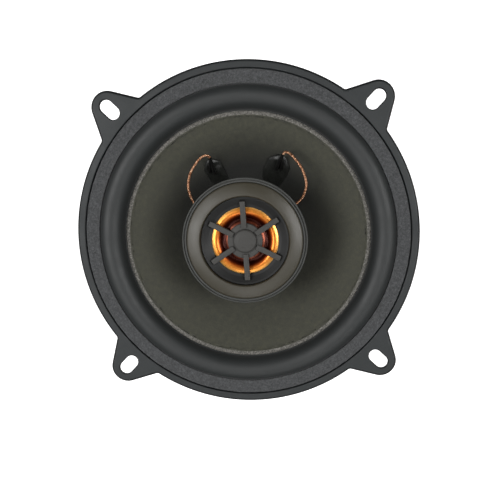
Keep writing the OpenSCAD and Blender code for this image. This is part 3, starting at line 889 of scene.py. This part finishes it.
def surround():
    """Rubber half roll between the cone's lip and the gasket's seat."""
    half = (GASKET_IN_R - 0.2 - LIP_OUT_R - 0.3) / 2
    middle = LIP_OUT_R + 0.3 + half

    def roll(inset):
        made = []
        for u in evenly(40):
            turn = math.pi * u
            rise = (SEAT_Z - LIP_Z) * u + (ROLL_H - inset) * math.sin(turn)
            made.append((middle - (half - inset) * math.cos(turn), LIP_Z + SURROUND_T + rise - inset, 0))
        return made

    inner = [p for p in roll(SURROUND_T) if p[1] > SEAT_Z or p[0] < middle]
    corners = [
        (LIP_OUT_R, LIP_Z, 0.1), (LIP_OUT_R, LIP_Z + SURROUND_T, 0.15), *roll(0),
        (GASKET_IN_R, SEAT_Z + SURROUND_T, 0), (RECESS_R - 0.3, SEAT_Z + SURROUND_T, 0.1),
        (RECESS_R - 0.3, SEAT_Z, 0.1), (GASKET_IN_R - 0.6, SEAT_Z, 0), *reversed(inner),
        (LIP_OUT_R + 1.3, LIP_Z, 0)]
    piece = lathe(rounded(corners), 256, 50)
    flex(piece, "surround_rubber", "surround", radial_weights(piece, LIP_OUT_R + 0.6, GASKET_IN_R))


def on_lip(point):
    """1 on the cone's raw lip and 0 off it, with a soft inner edge."""
    r = away(point)
    return smoothstep(r, LIP_IN_R - 0.5, LIP_IN_R + 0.1) * (r < LIP_OUT_R - 0.15)


def cone():
    """Pressed paper cone with a raw, slightly ragged lip that stands clear of the surround's foot."""
    radii = [NECK_R + (LIP_IN_R - 0.5 - NECK_R) * u for u in evenly(60)]
    back = [(r + 0.25, cone_z(r) - CONE_T, 0) for r in radii if r < LIP_IN_R - 1]
    corners = [
        (FORMER_R, NECK_Z + 0.6, 0.1), (NECK_R - 0.2, NECK_Z + 0.6, 0.2),
        *[(r, cone_z(r), 0) for r in radii],
        (LIP_IN_R - 0.1, LIP_Z + 0.05, 0.1), (LIP_IN_R + 0.3, LIP_Z + 0.3, 0.2),
        (LIP_OUT_R - 0.35, LIP_Z + 0.3, 0.2), (LIP_OUT_R - 0.1, LIP_Z, 0.1),
        (LIP_OUT_R + 1.2, LIP_Z, 0.1), (LIP_OUT_R + 1.2, LIP_Z - CONE_T, 0.1),
        (LIP_IN_R + 0.2, LIP_Z - CONE_T, 0.3), *reversed(back),
        (NECK_R, NECK_Z - 2, 0.1), (FORMER_R, NECK_Z - 2, 0.1)]
    piece = lathe(refined(rounded(corners), 0.7), 512, 50)
    roughen(piece, 0.3, 1.3, 5, on_lip)
    roughen(piece, 0.05, 0.35, 9)
    fit(piece, "cone_paper", "cone")


def spider():
    """Corrugated cloth that centres the voice coil."""
    start, end = FORMER_R + 2.2, LEDGE_R - 8.6
    first_z = LEDGE_Z - 0.3

    def waves(shift):
        made = []
        for u in evenly(96):
            swing = 0.9 * math.sin(u * 8 * math.pi) * min(1, 8 * u, 8 * (1 - u))
            made.append((start + (end - start) * u, first_z + 0.55 * u + swing + shift, 0))
        return made

    corners = [
        (FORMER_R, first_z, 0.1), *waves(0), (LEDGE_R - 7.4, LEDGE_Z + SPIDER_T, 0.3),
        (LEDGE_R - 0.6, LEDGE_Z + SPIDER_T, 0.15), (LEDGE_R - 0.6, LEDGE_Z, 0.1),
        (LEDGE_R - 7.4, LEDGE_Z, 0.3), *reversed(waves(-SPIDER_T)), (FORMER_R, first_z - SPIDER_T, 0.1)]
    piece = lathe(rounded(corners), 192, 50)
    flex(piece, "spider_cloth", "spider", radial_weights(piece, start, end))


def glue_spot(angle, width, low_r, high_r, height, seed):
    """Cement run: a drop at high_r that thins out down the cone's slope towards the neck.
    Each ring of points crosses the run over its crown and goes back under the paper."""
    rows, columns = 44, 36
    points = []
    for u in evenly(rows):
        r = low_r + (high_r - low_r) * u
        shape = min(1, (1 - u) * 5) ** 0.5 * (0.55 + 0.45 * smoothstep(u, 0, 0.6)) * min(1, u * 9) ** 0.5
        under = []
        for k in range(columns + 1):
            v = 2 * k / columns - 1
            edge = 1 + 0.12 * noise.noise(Vector((3 * u, 2.5 * v, seed)))
            turn = math.radians(angle) + v * width / 2 * max(0.03, shape) * edge / r
            dome = max(0, 1 - v * v) ** 0.6 * max(0, min(1, (1 - u) * 6, u * 6)) ** 0.5
            lumps = 1 + 0.35 * noise.noise(Vector((r * 0.35, turn * 9, seed + 4)))
            rise = height * dome * lumps * (0.3 + 0.7 * smoothstep(u, 0.1, 0.75))
            x, y = polar(r, turn)
            points.append((x, y, cone_z(r) + rise + 0.02))
            under.append((x, y, cone_z(r) - 0.3))
        points += under[::-1]
    size = 2 * (columns + 1)
    faces = ring_faces(rows + 1, size, False)
    for first in (0, rows * size):
        last = first + size - 1
        faces += [(first + k, first + k + 1, last - 1 - k, last - k) for k in range(columns)]
    return add_mesh(points, faces, 60)


def glue_spots():
    left = glue_spot(71, 7.5, 19, 33.2, 1.5, 2)
    right = glue_spot(20, 9.5, 18, 33.6, 1.5, 7)
    fit(merge(left, right), "glue", "cone_glue_spots")


# ---- leads

# The routes of leads and stubs are given in millimetres.
LEAD_R = 0.55
SLEEVE_LEFT = [(8.4, 26.2, -8.2), (9.2, 27.2, -6.6), (10.2, 28.4, -4.8), (11.2, 29.6, -3.2), (12, 30.6, -2)]
SLEEVE_RIGHT = [(25.8, 9.6, -8.2), (27, 10, -6.6), (28.4, 10.5, -4.8), (30, 11, -3.2), (31.5, 11.3, -2)]
FRONT_LEFT = [
    (12.1, 30.8, -1.7), (12, 31.9, -0.9), (11, 32.7, -0.2), (9.3, 33, 0.6), (7.3, 32.8, 1.4),
    (5.2, 32.4, 2.1), (3.4, 31.8, 2.7), (1.8, 31, 3.2), (0.4, 30.1, 3.5), (-0.9, 29, 3.6),
    (-2, 27.6, 3.7), (-2.9, 26.1, 3.6), (-3.6, 24.5, 3.4), (-4.1, 22.8, 3.2), (-4.3, 21, 3.05),
    (-4.2, 19.6, 3), (-3.9, 18.3, 3)]
FRONT_RIGHT = [
    (31.9, 11.4, -1.7), (33, 11.3, -0.9), (33.7, 10, -0.2), (33.8, 8.2, 0.6), (33.6, 6.2, 1.4),
    (33.3, 4.4, 2.1), (32.8, 2.6, 2.7), (32.1, 1, 3.2), (31.3, -0.5, 3.5), (30.2, -2, 3.7),
    (28.9, -3.2, 3.7), (27.2, -4.1, 3.6), (25.4, -4.7, 3.4), (23.6, -4.8, 3.2), (21.8, -4.7, 3.05),
    (20, -4.4, 3), (18.2, -4.1, 3)]
# The rear leads, as (radius, angle from the leg's middle in degrees, height).
REAR_ROUTE = [
    (30.9, 24.4, -9.6), (31.4, 24.4, -11), (32.8, 24.3, -12.2), (34.9, 24.1, -13.3),
    (37.2, 23.8, -14.1), (39.6, 23.4, -14.6), (42, 22.8, -14.9), (44.2, 22, -15), (46.4, 21, -15),
    (48.3, 19.6, -14.9), (49.7, 17.6, -14.5), (50.7, 15.3, -13.7), (51.2, 13, -12.7),
    (51.1, 10.7, -11.9), (50.7, 8.5, -11.5)]


def smooth_route(route, step):
    """Points a step apart along a smooth curve through the route's points."""
    ends = [Vector(route[0]) * 2 - Vector(route[1]), Vector(route[-1]) * 2 - Vector(route[-2])]
    given = [ends[0]] + [Vector(p) for p in route] + [ends[1]]
    parts = 12
    dense = []
    for a, b, c, d in zip(given, given[1:], given[2:], given[3:]):
        for k in range(parts):
            t = k / parts
            dense.append(0.5 * (2 * b + (c - a) * t + (2 * a - 5 * b + 4 * c - d) * t ** 2
                                + (3 * b - a - 3 * c + d) * t ** 3))
    dense.append(given[-2])
    made, run = [dense[0]], 0
    for a, b in zip(dense, dense[1:]):
        run += (b - a).length
        if run >= step:
            made.append(b)
            run = 0
    return made


def travelled(points):
    lengths = [0]
    for a, b in zip(points, points[1:]):
        lengths.append(lengths[-1] + (b - a).length)
    return lengths


def side_vectors(points):
    """Two directions across the route at each point, carried along it without twist."""
    side = (points[1] - points[0]).orthogonal().normalized()
    made = []
    for i in range(len(points)):
        along = (points[min(i + 1, len(points) - 1)] - points[max(i - 1, 0)]).normalized()
        side = (side - along * side.dot(along)).normalized()
        made.append((side, along.cross(side)))
    return made


def tube(points, radii, sides):
    """Closed tube along points; radii is one number for each point."""
    rings = []
    for point, radius, (a, b) in zip(points, radii, side_vectors(points)):
        for k in range(sides):
            x, y = polar(radius, math.tau * k / sides)
            rings.append(point + a * x + b * y)
    last = sides * (len(points) - 1)
    faces = ring_faces(len(points), sides, False)
    faces += [list(range(sides))[::-1], list(range(last, last + sides))]
    return rings, faces


def twisted_lead(route, radius, strands=3, pitch=2.4):
    """Strands wound round the route. Returns the piece and how far along each vertex lies, 0 to 1."""
    middle = smooth_route(route, 0.22)
    lengths = travelled(middle)
    sides = side_vectors(middle)
    strand_r, strand_sides = radius * 0.5, 9
    points, faces, shares = [], [], []
    for k in range(strands):
        path = []
        for at, run, (a, b) in zip(middle, lengths, sides):
            x, y = polar(radius - strand_r, math.tau * (run / pitch + k / strands))
            path.append(at + a * x + b * y)
        ring, quads = tube(path, [strand_r] * len(path), strand_sides)
        faces += [[i + len(points) for i in face] for face in quads]
        points += ring
        shares += [run / lengths[-1] for run in lengths for _ in range(strand_sides)]
    return add_mesh(points, faces, 60), shares


def rear_route(side):
    return [(*polar(r, math.radians(TERMINAL_ANGLE + side * angle)), z) for r, angle, z in REAR_ROUTE]


def leads():
    """Builds the four leads as twisted copper strands along their routes."""
    routes = {
        "front_lead_left": FRONT_LEFT, "front_lead_right": FRONT_RIGHT,
        "rear_lead_left": rear_route(1), "rear_lead_right": rear_route(-1)}
    for name, route in routes.items():
        piece, shares = twisted_lead(route, LEAD_R)
        flex(piece, "copper_braid", name, [1 - smoothstep(s, 0.05, 0.95) for s in shares])


def coated_stub(route, radius, seed):
    """Lead end dipped in black cement: lumpy, and thinner towards the bare copper."""
    points = smooth_route(route, 0.2)
    lengths = travelled(points)
    radii = []
    for run in lengths:
        share = run / lengths[-1]
        radii.append(radius * (1.1 - 0.3 * share + 0.22 * noise.noise(Vector((run * 0.9, seed, 0)))))
    return add_mesh(*tube(points, radii, 16), 60)


def sleeves():
    """The black stubs of both leads, and beside each a thinner black strand that stands for the stub's
    shadow.
    """
    shells = []
    for route, seed in ((SLEEVE_LEFT, 1), (SLEEVE_RIGHT, 6)):
        shells.append(coated_stub(route, 0.68, seed))
        # Painted shadow: the thin black strand beside each stub is put where the stub's shadow falls on the
        # glue and the cone.
        along = Vector((-0.7, 0.7, 0)) if seed == 1 else Vector((0.5, -0.9, 0))
        beside = [Vector(p) + along * (1.9 - 0.45 * i) for i, p in enumerate(route)]
        shells.append(coated_stub(beside, 0.32, seed + 3))
    fit(merge(*shells), "sleeve", "lead_sleeves")


# ---- tweeter


def tweeter_housing():
    """Moulded shell with two lead holes, whose rim has a thin groove and a seat for the bezel."""
    r, low, high = span("tweeter_housing")
    body = r - 2.9
    groove = r - 1.55
    piece = turned([
        (BOLT_BORE_R, low, 0.1), (body - 3, low, 0.8), (body - 1, low + 0.8, 1.2),
        (body, low + 2.6, 1.5),
        (body, high - 3.8, 0.8), (r - 0.4, high - 2.8, 0.6), (r, high - 2.3, 0.3), (r, high - 0.1, 0.35),
        (r - 0.55, high - 0.1, 0.1), (r - 0.62, high - 0.6, 0.05), (r - 0.88, high - 0.6, 0.05),
        (r - 0.95, high, 0.1), (groove, high, 0.12), (groove, high - 2.15, 0.05),
        (18.35, high - 2.15, 0.05), (18.35, high - 4.2, 0.05), (17.3, high - 4.2, 0.1),
        (17.3, low + 1.5, 0.5), (BOLT_BORE_R, low + 1.5, 0.1)], 256)
    for angle, height in LEAD_HOLES:
        tool = prism(circle(0, 0, 0.95), 15, 23)
        aim = Matrix.Translation((0, 0, height)) @ rotation(angle)
        carve(piece, put(tool, aim @ rotation(90, "Y")))
    fit(piece, "housing_plastic", "tweeter_housing")


def tweeter_bezel():
    """Front cover whose band falls in a shallow curve from its lip to the groove."""
    r, low, high = span("tweeter_bezel")
    hole = 16
    band = []
    for u in evenly(12):
        band.append((hole + 0.35 + (r - hole - 0.6) * u, high - 0.95 * u ** 1.6, 0))
    corners = [(hole, low + 0.55, 0), (hole, high - 0.35, 0.2), *band, (r, high - 1.2, 0.12), (r, low, 0)]
    corners += [(18.5, low, 0), (18.5, low + 0.55, 0)]
    fit(lathe(rounded(corners), 256), "bezel_plastic", "tweeter_bezel")


def tweeter_ring():
    """Shallow black horn that clamps the diaphragm's rim."""
    r, low, high = span("tweeter_ring")
    inner = DIAPHRAGM_R + 0.1
    piece = turned([
        (inner, low, 0), (inner, low + 0.3, 0.1), (13.2, low + 0.62, 0.3), (15.2, high - 0.25, 0.3),
        (15.9, high, 0.1), (15.9, low + 0.8, 0), (r, low + 0.8, 0), (r, low, 0)], 256)
    fit(piece, "black_plastic", "tweeter_ring")


def tweeter_diaphragm():
    """Film pressed into a dome, a trough and an outer roll."""
    share = evenly(16)
    film, rim_r = 0.15, 14.5
    top_z, trough_z, roll_z, rim_z = 12.1, 11.2, 11.5, 11.95
    trough_w, roll_w = 1.9, 3.2
    front = [(DOME_R * u, top_z - 0.9 * u ** 2) for u in share]
    for u in share[1:]:
        front.append((DOME_R + trough_w * u, trough_z + 0.3 * u - 0.45 * math.sin(math.pi * u)))
    for u in share[1:]:
        front.append((DOME_R + trough_w + roll_w * u, roll_z + 0.45 * u + 0.55 * math.sin(math.pi * u)))
    rear = [(r, z - film) for r, z in reversed(front)]
    outline = [Vector(p) for p in front + [(rim_r, rim_z), (rim_r, rim_z - film)] + rear]
    piece = lathe(outline, 192, 60)
    weights = radial_weights(piece, DOME_R + 0.8, DIAPHRAGM_R)
    flex(piece, "amber_film", "tweeter_diaphragm", weights)


def tweeter_grille():
    """Phase plug on six arms, whose feet stand on the black ring."""
    _, _, top = span("tweeter_grille")
    arm_z = top - 0.4
    low = arm_z - 1.7
    piece = turned([
        (0, low, 0), (PLUG_COLLAR_R, low, 0.2), (PLUG_COLLAR_R, low + 0.8, 0.35),
        (PLUG_CAP_R + 0.1, low + 0.95, 0.1), (PLUG_CAP_R, arm_z - 0.1, 0.15),
        (PLUG_CAP_R - 0.5, arm_z + 0.2, 0.4), (PLUG_CAP_R - 2, arm_z + 0.36, 2), (0, top, 0)], 128)
    arms = []
    for i in range(6):
        turn = rotation(TERMINAL_ANGLE + ARM_TURN + i * 60)
        bar = prism(rectangle((PLUG_CAP_R + 0.5, -ARM_W / 2), (ARM_REACH, ARM_W / 2), 0.25),
                    arm_z - 1.1, arm_z, 0.2)
        foot = prism(rectangle((ARM_REACH - 1.5, -0.8), (ARM_REACH - 0.15, 0.8), 0.2),
                     low + 0.55, arm_z - 0.6)
        arms += [put(bar, turn), put(foot, turn)]
    for arm in arms:
        carve(piece, arm, "UNION")
    fit(piece, "grille_plastic", "tweeter_grille")


def tweeter_inside():
    """Carrier and post, which show only between the cone and the housing, and the hidden motor."""
    low_r, low, high = span("tweeter_carrier")
    seat = high - 1.55
    fit(turned([
        (9.2, low, 0.1), (17.2, low, 0.3), (17.2, seat, 0), (low_r, seat, 0.1), (low_r, high, 0.15),
        (12.2, high, 0.15), (12.2, seat, 0.2), (9.2, seat, 0.1)]), "black_plastic", "tweeter_carrier")
    foot_r, foot, top = span("tweeter_post")
    fit(turned([
        (BOLT_BORE_R, foot, 0.1), (foot_r, foot, 0.3), (foot_r, foot + 2, 0.5), (6, foot + 4, 1.5),
        (5.4, top - 3, 1), (7.5, top - 1, 0.4), (7.5, top, 0.2), (BOLT_BORE_R, top, 0.1)], 128),
        "black_plastic", "tweeter_post")
    for node in ("tweeter_yoke", "tweeter_magnet", "tweeter_pole_plate", "tweeter_nut"):
        keep_node(node, "plated_steel")
    keep_node("tweeter_voice_coil", "copper_wire")


# ---- motor


def motor():
    r, low, high = span("top_plate")
    fit(turned([(14, low, 0.2), (r, low, 0.3), (r, high, 0.5), (14, high, 0.2)]),
        "plated_steel", "top_plate")
    r, low, high = span("magnet")
    magnet = turned([(18, low, 0.3), (r, low, 0.7), (r, high, 0.7), (18, high, 0.3)], 256)
    fit(magnet, "ferrite", "magnet")
    r, low, high = span("yoke")
    plate = low + 4
    fit(turned([
        (BOLT_BORE_R, high, 0.2), (12.2, high, 0.5), (12.2, plate, 0.4), (r, plate, 0.3), (r, low, 1.1),
        (5, low, 0.3), (5, low + 3.5, 0.1), (BOLT_BORE_R, low + 3.5, 0.1)], 256), "plated_steel", "yoke")
    for node in ("tweeter_bolt", "bolt_washer", "basket_rivets"):
        keep_node(node, "plated_steel")
    keep_node("voice_coil_former", "kapton")
    keep_node("voice_coil", "copper_wire")


# ---- terminals


def terminals():
    leg = on_leg()
    half = (BOARD[0] / 2, BOARD[1] / 2)
    board = prism(rectangle((-half[0], -half[1]), half, 1.2), PAD_T, PAD_T + BOARD[2], 0.15)
    for side in (-1, 1):
        carve(board, prism(circle(side * TAB_X, 0, 1.3), 0, 3))
    fit(put(board, leg), "phenolic", "terminal_board")
    for node, width, side in (("terminal_tab_wide", 4.8, 1), ("terminal_tab_narrow", 2.8, -1)):
        x, w = side * TAB_X, width / 2
        blade = rounded([
            (x - w, 9 - w * 0.4, 0.2), (x - w * 0.7, 9, 0.2), (x + w * 0.7, 9, 0.2),
            (x + w, 9 - w * 0.4, 0.2), (x + w, 3.2, 0.8), (x + 3, 2, 0.8), (x + 3, -2.4, 0.8),
            (x + w, -5, 0.4), (x - w, -5, 0.4), (x - 3, -2.4, 0.8), (x - 3, 2, 0.8), (x - w, 3.2, 0.8)])
        tab = prism(blade, TAB_TOP - TAB_T, TAB_TOP, 0.12)
        carve(tab, prism(circle(x, 6, 0.7), 0, 5))
        fit(put(tab, leg), "tinned_brass", node)


def terminal_rivets():
    """Tubular rivets: a rolled head on the tab and a flat one inside the basket."""
    seat = -1.15
    shells = []
    for side in (-1, 1):
        piece = turned([
            (0, seat - 0.7, 0), (2.1, seat - 0.7, 0.25), (2.1, seat, 0.1), (1.2, seat, 0),
            (1.2, TAB_TOP, 0), (2.1, TAB_TOP, 0.1), (1.9, TAB_TOP + 0.6, 0.35),
            (1, TAB_TOP + 0.75, 0.3), (0.7, TAB_TOP - 0.2, 0.2), (0, TAB_TOP - 0.25, 0)], 48)
        shells.append(put(piece, on_leg() @ Matrix.Translation((side * TAB_X, 0, 0))))
    fit(merge(*shells), "tinned_brass", "terminal_rivets")


def capacitor():
    """Small axial capacitor in a shrunk sleeve, crimped near one end."""
    end, r = CAPACITOR_LEN / 2, CAPACITOR_R
    piece = turned([
        (0, -end + 0.25, 0), (2.2, -end + 0.25, 0.1), (2.5, -end, 0.2), (r, -end, 0.5), (r, end - 2.6, 0.4),
        (r - 0.35, end - 2, 0.3), (r, end - 1.4, 0.4), (r, end, 0.6), (2.4, end, 0.2), (2.1, end - 0.3, 0.1),
        (0, end - 0.3, 0)], 96)
    lie = Matrix.Translation((0, CAPACITOR_Y, CAPACITOR_Z)) @ rotation(90, "Y")
    fit(put(piece, on_leg() @ lie), "capacitor_sleeve", "crossover_capacitor")
    shells = []
    for side in (-1, 1):
        route = [
            (side * (end - 0.3), CAPACITOR_Y, CAPACITOR_Z), (side * (end + 1.2), CAPACITOR_Y, CAPACITOR_Z),
            (side * (end + 1.8), CAPACITOR_Y + 0.8, CAPACITOR_Z + 0.1),
            (side * (end + 1.7), CAPACITOR_Y + 2.2, CAPACITOR_Z + 0.1),
            (side * (end + 1.5), CAPACITOR_Y + 4.8, TAB_TOP + 0.4)]
        points = smooth_route(route, 0.25)
        shells.append(add_mesh(*tube(points, [0.38] * len(points), 12), 60))
    fit(put(merge(*shells), on_leg()), "tinned_brass", "capacitor_wires")


# ---- the scene

bpy.context.scene.view_settings.view_transform = "Standard"
add_camera()
add_world(0.08)
add_light("left", (-0.5, 0.05, 0.8), 0.45, 6)
add_light("right", (0.55, 0.05, 0.8), 0.45, 5.5)
add_light("low", (0.0, -0.6, 0.8), 0.5, 2)
add_light("behind_left", (-0.5, 0.4, -0.7), 0.5, 5)
add_light("behind_right", (0.6, -0.1, -0.7), 0.5, 5)
add_floor()
basket()
front_gasket()
surround()
cone()
spider()
glue_spots()
leads()
sleeves()
tweeter_housing()
tweeter_bezel()
tweeter_ring()
tweeter_diaphragm()
tweeter_grille()
tweeter_inside()
motor()
terminals()
terminal_rivets()
capacitor()
